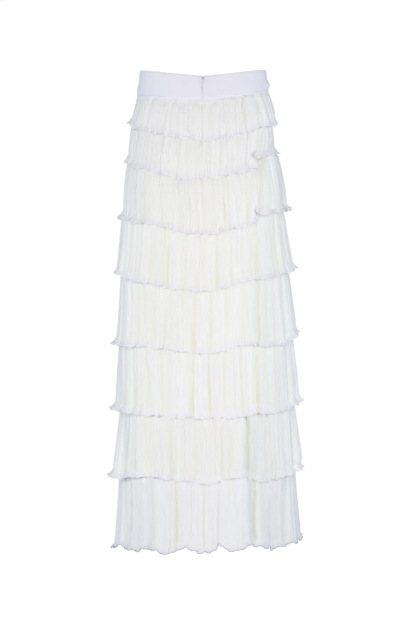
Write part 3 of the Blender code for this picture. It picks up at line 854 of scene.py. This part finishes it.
def tuckedUnder(outer, over):
    # radius no larger than each hanging panel's, less the gap; below its edge the limit opens with the drop
    mean, uneven = chiffon["opening"]
    reach = chiffon["easeColumns"]
    for radii, heights, covered in over:
        place = halfDegrees(outer)
        z = outer[..., 2]
        levels, limits = heights[:, place], radii[:, place]
        low = np.clip((levels > z).sum(axis=0), 1, len(levels) - 1)
        (upperZ, lowerZ), (upperR, lowerR) = (
            [np.take_along_axis(values, row[None], axis=0)[0] for row in (low - 1, low)]
            for values in (levels, limits))
        part = np.clip((upperZ - z) / np.maximum(upperZ - lowerZ, 1e-5), 0.0, 1.0)
        opening = mean + uneven * np.sin(0.37 * place) * np.sin(0.083 * place + 1.0)
        spare = np.where(covered[place], opening * np.maximum(lowerZ - z, 0.0) - chiffon["clear"] * mm, 1.0)
        limit = np.where(covered[place], upperR + (lowerR - upperR) * part, 0.0) + spare
        scale = np.minimum(1.0, limit / np.hypot(outer[..., 0], outer[..., 1]))
        scale = np.pad(scale, ((0, 0), (2 * reach, 2 * reach)), mode="edge")
        for ease in (np.min, np.mean):  # the smallest of the neighbours, then their mean, to change softly
            width = scale.shape[1] - 2 * reach
            scale = ease([scale[:, step:width + step] for step in range(2 * reach + 1)], axis=0)
        outer = outer * np.stack([scale, scale, np.ones_like(scale)], axis=-1)
    return outer


def newPanel(number, tier, front, first, last, top, seam, hem):
    # columns by pleats; v is 0 at the top and 1 at the seam line, w goes on to the hem, u goes down the frill
    seed = chiffon["seed"] + number * 10 + (5 if front else 0) + (2 if first > -1 else 0)
    p = SimpleNamespace(number=number, tier=tier, front=front, first=first, last=last)
    p.rng = np.random.default_rng(seed)
    p.degrees, p.along, p.phase, p.pleat, p.count = pleatColumns(hem, first, last, tier["pleat"], p.rng)
    p.v = np.concatenate([bodyRows, np.ones(len(frillRows))])[:, None]
    p.w = np.concatenate([np.zeros(len(bodyRows)), frillRows])[:, None]
    p.height = (top["sideZ"] - seam["sideZ"]) / mm
    p.above = np.where(p.w > 0, (1 - p.w) * tier["seamRise"], tier["seamRise"] + (1 - p.v) * p.height)
    p.u = np.clip(1 - p.above / tier["frillHeight"], 0.0, 1.0)
    p.rise = smoothStep(p.v * p.height / chiffon["riseHeight"])
    p.sine = np.sin(np.radians(p.degrees))
    p.lapped = front and number in chiffon["lap"]
    return p


def wandering(p, spread):  # a smooth random line from 0 to 1 along the panel
    return wander(p.along, spread, p.rng)


def perPleat(p, least, most):  # a random value for each pleat, at its columns
    return p.rng.uniform(least, most, p.count)[p.pleat]


def alongLines(p, rows, lead, start, end):
    # each row, then again on the hidden side, at a set turn less its degrees: the distance in degrees from
    # its leaning line, its two values, and a strength that comes in after its start and fades after its end
    for turn, way in ((0.0, 1), (folds["hiddenTurn"], -1)):
        for row in rows:
            top, one, two, foot, begin, stop = (*row, *(row[0], 0, 1)[len(row) - 3:])
            top, foot = turn + way * top, turn + way * foot
            fade = smoothStep((p.v - stop) / end) * (stop < 1)
            ends = smoothStep((p.v - begin + lead) / start) * (1 - fade)
            yield p.degrees - top - (foot - top) * p.v, one, two, ends


def bodyRelief(p):
    # millimetres outwards: large waves, then folds, each a wandering line with a sharp turn at its middle
    tier, v, w, rise = p.tier, p.v, p.w, p.rise
    waves = mainWaves(p.degrees, p.first, p.last, p.number + (8 if p.front else 0)) * folds["wavePart"]
    broad = rise * waves * (tier["fold"] * v + (tier["frill"] - tier["fold"]) * w)
    for spread, upper, lower in folds["sizes"]:
        high, low = wandering(p, spread), wandering(p, spread)
        low = folds["keep"] * high + (1 - folds["keep"]) * low
        ridge = np.abs(2 * (high * (1 - v) + low * v) - 1) ** folds["sharp"]
        broad = broad + tier["folds"] * (0.35 + 0.65 * rise) * (upper + (lower - upper) * v) * ridge
    for distance, depth, width, strength in alongLines(p, creases[p.number], 0.02, 0.14, 0.08):
        dip = hump(distance, width * folds["creaseWidth"])
        broad = broad - rise * folds["creasePart"] * depth * dip * strength * (1 - 0.6 * w)

    # and pleats: a lopsided ridge each, with its own strength at the gathers and the hem, stronger in groups
    strong = p.rng.uniform(*pleats["strength"], (2, p.count))
    share, left = pleats["weak"]
    strong[:, p.rng.random(p.count) < share] *= left
    skew = np.exp(p.rng.uniform(-1, 1, p.count) * pleats["skew"])[p.pleat]
    upper, lower = pleats["depth"]
    fine = upper * strong[0, p.pleat] * (1 - v) + lower * strong[1, p.pleat] * v
    fine = fine * np.sin(np.pi * p.phase**skew)
    fine = fine * (0.45 + 1.0 * wandering(p, pleats["groups"])) * tier["pleatPart"]
    return broad, (0.55 + 0.45 * rise) * fine


def frillRelief(p):
    # curls that grow towards the hem, with pits between them: millimetres outwards, sideways and upwards
    tier, u, w = p.tier, p.u, p.w
    bell = 0.5 - 0.5 * np.cos(2 * np.pi * p.phase)
    flute = perPleat(p, *frill["flutes"]) * bell
    curl = wandering(p, frill["curls"])
    spread, none, height = frill["swell"]
    swell = (wandering(p, spread) - none) * height
    deep, reach = frill["groove"]
    groove = deep * hump(p.above - tier["frillHeight"], reach)
    pits = -tier["pits"] * wandering(p, frill["pits"]) ** 5 * np.sin(np.pi * np.clip(u * 1.15, 0, 1))
    depth = tier["frillDepth"] * (frill["middlePart"] + (1 - frill["middlePart"]) * p.sine**2)
    flare = max(0.0, (tier["hemHalf"] - tier["seamHalf"]) * tier["depth"] - chiffon["middleFlare"])
    curls = frill["fluteDepth"] * flute + frill["curlDepth"] * curl
    out = depth * curls * u**1.5 + swell * u + groove + pits
    out = out - flare * w ** chiffon["flarePower"] * (1 - p.sine**6)
    swing = frill["swingPart"] * perPleat(p, *frill["swing"]) * np.sin(2 * np.pi * p.phase)
    swing = (swing + sway(p.along, p.rng, frill["swingWave"])) * u**1.6
    ripple = sway(p.along, p.rng, *frill["ripples"], frill["fineRipple"])
    ripple = (ripple + perPleat(p, -1.0, 1.0) * bell) * u**1.6 * tier["hemWave"]
    return out, swing, ripple


def atSeams(p, out, swing, ripple):
    # seams turn in; the zip's edges lie flat; the front's frill laps over the back's at the right seam
    tier, u, v, w = p.tier, p.u, p.v, p.w
    seamShade, slant = np.zeros_like(out), np.zeros_like(out)
    lean = sway(p.along, p.rng, chiffon["lean"]) * (v - 0.5) * np.sin(np.pi * np.clip(v, 0, 1)) ** 0.5
    for distance, atZip, atRight in (
        (p.along, abs(p.first) < 1, p.front),
        (p.along[-1] - p.along, abs(p.last) < 1, not p.front and abs(p.last) > 1),
    ):
        depth = -chiffon["zipLevel"] if atZip else (tier["seamCrease"] if atRight else 0.9)
        lapped = (u if p.front else 0.5 * u) if atRight and p.number in chiffon["lap"] else 0.0
        blend = hump(distance, 1.6 if atZip else 4.2) * (1 - lapped)
        out = out * (1 - blend) - depth * p.rise * (1 - 0.7 * w) * blend
        swing = swing * (1 - blend)
        lean = lean * (1 - hump(distance, 12.0))
        if atRight:
            slant = (tier["seamTop"] * (1 - v) + tier["seamLow"] * v) * hump(distance, chiffon["slantReach"])
            # painted shade along the right seam's crease, weaker on the upper tiers
            most, reach = shades["seamShadeSize"]
            seamShade = hump(distance, reach) * most * (1 - u) * min(1.0, p.number / 4 - 0.1)
    if p.lapped:
        near = hump(p.along, chiffon["lapReach"]) * (0.12 * v**3 + 0.88 * smoothStep(u * 1.25))
        swing = swing - chiffon["lap"][p.number] * near
        ripple = ripple + sway(p.along, p.rng, chiffon["lapWave"]) * near
        out = out + 0.3 * near
    if p.number <= zipTiers:
        flat = np.exp(-(p.degrees / chiffon["zipFlat"]) ** 4)
        out = out * (1 - flat) + np.maximum(out, -0.7) * flat
    return out, swing + lean, ripple, slant, seamShade


def atSides(p):  # how far the sides stand out, by the sine squared, and how far the middle of the top does
    v, w = p.v, p.w
    upper, lower, tip = (np.where(p.sine < 0, p.tier[f"left{level}"], p.tier[f"right{level}"])
                         for level in ("Top", "Low", "Hem"))
    out = (upper * (1 - v) + lower * v * (1 - w) + tip * w) * p.sine**2 * p.rise
    return out + chiffon["closeTop"].get(p.number, 0.0) * (1 - p.sine**6) * (1 - v) ** 2


def colourMasks(p, broad, seamShade):
    u, v = p.u, p.v
    # painted cool shade: Gaussian strips along leaning lines, and a little more towards the lowest hem
    paintedCoolShade = np.zeros_like(broad)
    for distance, width, strength, ends in alongLines(p, paintedShadeFolds[p.number], 0.1, 0.25, 0.2):
        paintedCoolShade = paintedCoolShade + strength * hump(distance, width) * ends
    paintedCoolShade = paintedCoolShade * (0.7 + 0.6 * wandering(p, 4.0))
    if p.number == len(tierRows):
        base, low, tip = shades["lowestPaintedShade"]
        paintedCoolShade = paintedCoolShade + (base + low * v + tip * u**3)
    paintedCoolShade = np.clip(paintedCoolShade, 0, 1)

    # painted valley shade: how far the folds lie below their own mean over a few centimetres, and faint wider
    # streaks
    reach = shades["foldPoints"]
    sums = np.cumsum(np.pad(broad, ((0, 0), (reach + 1, reach)), mode="edge"), axis=1)
    mean = (sums[:, 2 * reach + 1:] - sums[:, : -(2 * reach + 1)]) / (2 * reach + 1)
    streaks = sum(part * wandering(p, spread) ** 2 for spread, part in shades["streaks"])
    paintedValleyShade = np.clip((mean - broad) / shades["foldDepth"], 0.0, 0.6) + shades["streakPart"] * streaks
    paintedValleyShade = np.clip(np.maximum(paintedValleyShade + p.tier["paintedShadeOffset"], seamShade) * (1 - u) * (1 - 0.6 * paintedCoolShade), 0, 1)
    # tone varies at random by pleat and along the panel; it fades out towards each tier's top, leaving the
    # top lighter as painted light under the hem above
    each, spread, most = shades["tone"]
    tone = p.rng.random(p.count)[p.pleat] * each + wandering(p, spread) * most
    tone = tone * smoothStep(v / shades["paintedLightTop"])
    startSpread, blotchSpread = shades["frillSpread"]
    start = shades["frillStart"] * wandering(p, startSpread)
    blotch = 0.5 + 0.8 * wandering(p, blotchSpread)
    mask = smoothStep((u - start) / shades["frillLength"]) * np.minimum(blotch, 1.0)
    return {"paintedValleyShade": paintedValleyShade, "tone": tone, "frill": mask, "paintedCoolShade": paintedCoolShade}


def addPanel(name, number, first, last, front, tier, top, seam, hem, topLift, over):
    # the tier's rings with all relief laid on outwards, its hem lifted, tucked inside the tier above
    p = newPanel(number, tier, front, first, last, top, seam, hem)
    broad, fine = bodyRelief(p)
    out, swing, ripple = frillRelief(p)
    out, swing, ripple, slant, seamShade = atSeams(p, broad + fine + out, swing, ripple)
    out = out + atSides(p)
    attributes = colourMasks(p, broad, seamShade)

    # the cloth turns in at both ends, as the seam's allowance
    ends = np.concatenate([[0, 0], np.arange(len(p.along)), [len(p.along) - 1] * 2])
    degrees, along, out, swing, ripple, slant = (
        part[..., ends] for part in (p.degrees, p.along, out, swing, ripple, slant))
    degrees[2] += 0.04  # a narrow column keeps the turned edge from shading the panel
    degrees[-3] -= 0.04
    for column, edge in ((0, first), (-1, last)):
        out[:, column] -= 0.3 if abs(edge) < 1 else chiffon["allowance"] * (1 - 0.85 * p.u[:, 0])
    attributes = {key: np.broadcast_to(mask, broad.shape)[:, ends] for key, mask in attributes.items()}
    attributes["cloth"] = clothPlace(along, p.above)

    _, rate = arcLength(hem, degrees)
    lift = hemLift(number, degrees, front, tier["rightSeam"])
    height = lift * np.where(p.w > 0, 1.0, p.v**2) + topLift(degrees + slant[0]) * (1 - p.v) ** 1.5 + ripple
    surface = tierSurface(top, seam, hem, tier["bulge"])
    points = ringPoints(surface, degrees + np.degrees(swing / rate) + slant, out, height)
    outer = tuckedUnder(points, over)
    thickness = chiffon["thickness"] * mm
    made, inner = clothObject(f"{name}_cloth", outer, thickness, finishes["chiffon"], attributes)
    settle(made, node=name)

    # rolled edging: a thin tube along the hem
    middle = ((outer[-1] + inner[-1]) / 2)[2:-2]
    # the lowest tier's edging is the dark copy, with painted shade
    kind = "lowEdgingPaintedShade" if number == len(tierRows) else "edging"
    masks = {key: value[-1, 2:-2] for key, value in attributes.items()}
    edging = tubeObject(f"{name}_edging", middle, outward(outer)[-1, 2:-2], chiffon[kind] * mm,
                        chiffon["edgingSides"], finishes[kind], masks)
    settle(edging)
    return inner[:, 2:-2]


def addTier(number, tier, top, seam, hem, topLift, over):  # its panels, back and front
    left, right, gap = leftSeam, tier["rightSeam"], chiffon["seamGap"]
    edge = np.degrees(chiffon["zipGap"] * mm / top["halfWidth"])
    if number <= zipTiers:
        panels = [(f"tier_{number}_back_left", left + gap, -edge, False),
                  (f"tier_{number}_back_right", edge, right - gap, False)]
    else:
        panels = [(f"tier_{number}_back", left + gap, right - gap, False)]
    panels.append((f"tier_{number}_front", right + gap, left + 360.0 - gap, True))
    inners = [addPanel(name, number, first, last, front, tier, top, seam, hem, topLift, over)
              for name, first, last, front in panels]
    sewn = [[f"{name}_cloth" for name, _, _, front in panels if front == side] for side in (False, True)]
    return inners, sewn


def sewnLift(number, tier):  # the next tier's upper edge follows the seam line that it is sewn to, smoothed
    steps = np.linspace(leftSeam, leftSeam + 360.0, 721)
    right = tier["rightSeam"]
    line = np.where(steps > right, hemLift(number, steps, True, right), hemLift(number, steps, False, right))
    smooth = np.convolve(np.pad(line, 12, mode="wrap"), np.ones(25) / 25, mode="valid")
    return lambda degrees: np.interp(degrees, steps, smooth)


heading = {
    "above": 3.0,  # millimetres up inside the waistband
    "inside": 0.7,
    # degrees, and millimetres that the frill hangs below the waistband there
    "drops": ((0.0, 9.0), (18.0, 9.0), (26.0, 6.0), (84.0, 6.0), (120.0, 9.0), (360.0, 9.0)),
    "rows": (0.0, 0.25, 0.42, 0.56, 0.68, 0.79, 0.90, 1.0),
    "edge": ((13.0, 3.6), (4.5, 3.0)),
    "gathers": ((3.4, 0.9), (8.0, 0.9)),
    "swing": (4.0, 2.4),
    "flare": 2.4,
    "tone": (9.0, 0.4),
    "columns": 1300,
    "depth": 0.0105,
    "cutPart": 1.5,
    "seed": 5,
}


def addHeading():
    # the gathers below the waistband as a narrow frill, which stands out with the square of the way down
    rng = np.random.default_rng(heading["seed"])
    degrees = np.linspace(0.03, 359.97, heading["columns"])
    top = moved(bandBottom, inwards=heading["inside"], down=-heading["above"])
    v = np.array(heading["rows"])[:, None]
    along, _ = arcLength(top, degrees)
    drops = np.interp(degrees, *zip(*heading["drops"]))
    fall = (heading["above"] + drops + sway(along, rng, *heading["edge"])) * v
    gathers = sum(wander(along, spread, rng) * depth for spread, depth in heading["gathers"])
    free = smoothStep((fall - heading["above"]) / 3.0)
    outwards = 0.2 + free * gathers * (0.4 + 0.6 * v) + heading["flare"] * free * v**2
    ends = np.minimum(1, np.minimum(along, along[-1] - along) / 8.0)
    swing = sway(along, rng, heading["swing"]) * v**2 * ends
    outer = ringPoints(top, degrees + np.degrees(swing * mm / top["halfWidth"]), outwards, -fall)
    spread, tone = heading["tone"]
    attributes = {
        "paintedValleyShade": 0 * fall, "paintedCoolShade": 0 * fall,
        "tone": np.broadcast_to(tone * wander(along, spread, rng), fall.shape),
        "frill": (1 - smoothStep((v - 0.5) / 0.45)) * (0.7 + 0.3 * wander(along, 6.0, rng)),
        "cloth": clothPlace(along, fall),
    }
    thickness = chiffon["thickness"] * mm
    made, inner = clothObject("waist_frill", outer, thickness, finishes["heading"], attributes)
    settle(made)
    return inner


tiers = [tierOf(values, drape) for values, drape in zip(tierRows, drapeRows)]
top, topLift = moved(bandBottom, inwards=0.8, down=-0.4), (lambda degrees: 0.0 * degrees)
sewnTo = [[waistband], [waistband]]
over = [hangingOver(addHeading()[2:])]
for number, (tier, seam, hem) in enumerate(tiers, start=1):
    inners, sewnTo = addTier(number, tier, top, seam, hem, topLift, over)
    over = [hangingOver(inner[8:]) for inner in inners]
    top, topLift = moved(seam, inwards=chiffon["underGap"]), sewnLift(number, tier)
    print("tier", number, "made")


sewing = {
    "rows": (3.2, 6.4),  # millimetres below the waistband's top edge
    "besideZip": 5.4,
    "upright": (0.03, 0.97),  # parts of the band's height
    "length": 2.3,
    "pitch": 3.1,
    "radius": 0.22,
    # parts of the length, and of the radius there
    "taper": ((-0.5, 0.3), (-0.32, 1.0), (0.32, 1.0), (0.5, 0.3)),
    "endGap": 3.0,
    "topGap": 1.0,
}


def stitchMesh(name, places, ways, sideways, material):
    # each stitch: four rings of four points round its own way, narrow at both ends
    steps, radii = np.array(sewing["taper"]).T * [[sewing["length"] * mm], [sewing["radius"] * mm]]
    ring = turned(sideways, np.cross(sideways, ways), 4)
    points = (places[:, None, None] + ways[:, None, None] * steps[None, :, None, None]
              + ring[:, None] * radii[None, :, None, None])
    index = np.arange(16).reshape(4, 4)
    one = np.concatenate([gridFaces(closed(index)), index[:1], index[-1:, ::-1]])
    quads = (one[None] + 16 * np.arange(len(places))[:, None, None]).reshape(-1, 4)
    flat = points.reshape(-1, 3)
    masks = {key: np.zeros(len(flat)) for key in ("paintedValleyShade", "tone", "frill", "paintedCoolShade")}
    return meshObject(name, flat, quads, material, {"cloth": flat, **masks})


def addStitches():  # rows of even stitches round the waistband, and one down beside the zip, sunk by half
    degrees = np.linspace(0.0, 360.0, 4000)
    rows = []
    for below in sewing["rows"]:
        part = below / band["height"]
        line = ringPoints(between(bandTop, bandBottom, part), degrees, 0.0, bandRise(degrees, part))
        end = lengths(line)[-1] - sewing["endGap"]
        rows.append((line, np.arange(sewing["endGap"], end, sewing["pitch"])))
    beside = np.full(60, np.degrees(sewing["besideZip"] * mm / bandTop["halfWidth"]))
    line = ringPoints(between(bandTop, bandBottom, np.linspace(*sewing["upright"], 60)), beside, 0.0)
    rows.append((line, np.arange(sewing["topGap"], lengths(line)[-1], sewing["pitch"])))
    places = np.concatenate([sampled(line, line, at) for line, at in rows])
    ways = np.concatenate([sampled(line, np.gradient(line, axis=0), at) for line, at in rows])
    ways /= np.linalg.norm(ways, axis=1, keepdims=True)
    sideways = np.where(np.abs(ways[:, 2:]) > 0.5, [[1.0, 0.0, 0.0]], [[0.0, 0.0, 1.0]])
    settle(stitchMesh("waist_stitches", places, ways, sideways, finishes["waistband"]))


addStitches()
print("stitches sewn")


zipper = {
    "coilDegrees": 0.42,
    "coilDepth": -2.1,
    "coilRadii": (1.15, 0.69),  # across and outwards
    "wire": 0.28,
    "pitch": 1.5,
    "turnPoints": 8,
    "parts": (0.30, 0.9, 0.70),  # of the waistband's, the first tier's and the second tier's height
    "inside": (2.3, 2.3, 3.4, 1.7, 1.7),
    "underGap": 1.7,
    "bevel": 0.2,
}


def tapeRings():  # the rings that the tapes follow: inside the waistband, then inside each tier's seam line
    (_, firstSeam, _), (_, secondSeam, _) = tiers[:2]
    start, nearSeam, end = zipper["parts"]
    secondTop = moved(firstSeam, inwards=zipper["underGap"])
    rings = (between(bandTop, bandBottom, start), bandBottom, between(bandBottom, firstSeam, nearSeam),
             secondTop, between(secondTop, secondSeam, end))
    return [moved(ring, inwards=inwards) for ring, inwards in zip(rings, zipper["inside"])]


def addCoils():  # the line down the tape plus a radius times cosine and sine of the turn, half a turn apart
    across, outwards = zipper["coilRadii"]
    for side, sign, phase in (("left", -1, 0.0), ("right", 1, np.pi)):
        at = np.array([sign * zipper["coilDegrees"]])
        knots = np.stack([ringPoints(ring, at, zipper["coilDepth"])[0] for ring in tapeRings()])
        length = lengths(knots)[-1]
        steps = np.linspace(0.0, length, int(length / zipper["pitch"]) * zipper["turnPoints"] + 1)
        line = sampled(knots, knots, steps)
        angle = 2 * np.pi * steps / zipper["pitch"] + phase
        line[:, 0] += np.cos(angle) * across * mm
        line[:, 1] += np.sin(angle) * outwards * mm
        upright = np.broadcast_to(np.array([0.0, 0.0, 1.0]), line.shape)
        coil = tubeObject(f"zip_coil_{side}", line, upright, zipper["wire"] * mm, 4, finishes["tape"])
        settle(coil)


def addFinished(node, material, body):  # the node's own faces, merged, with rounded edges
    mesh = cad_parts[node].data.copy()
    work = bmesh.new()
    work.from_mesh(mesh)
    bmesh.ops.remove_doubles(work, verts=work.verts, dist=1e-6)
    bmesh.ops.dissolve_limit(work, angle_limit=0.01, verts=work.verts, edges=work.edges)
    work.to_mesh(mesh)
    work.free()
    mesh.materials.clear()
    mesh.materials.append(material)
    made = newObject(f"{node}_finished", mesh)
    bevel = made.modifiers.new("edges", "BEVEL")
    bevel.width = zipper["bevel"] * mm
    bevel.segments = 2
    bevel.angle_limit = 0.6
    bevel.use_clamp_overlap = True
    settle(made, body, node)


addCoils()
addFinished("zip_slider", finishes["slider"], skirtBody)
addFinished("zip_pull_tab", finishes["tab"], tabBody)
for node in ("zip_tape_left", "zip_tape_right"):
    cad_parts[node].data.materials.clear()
    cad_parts[node].data.materials.append(finishes["tape"])
print("zip finished")


def plain(box):  # the box's corners as plain numbers
    return [[float(part) for part in corner] for corner in box]
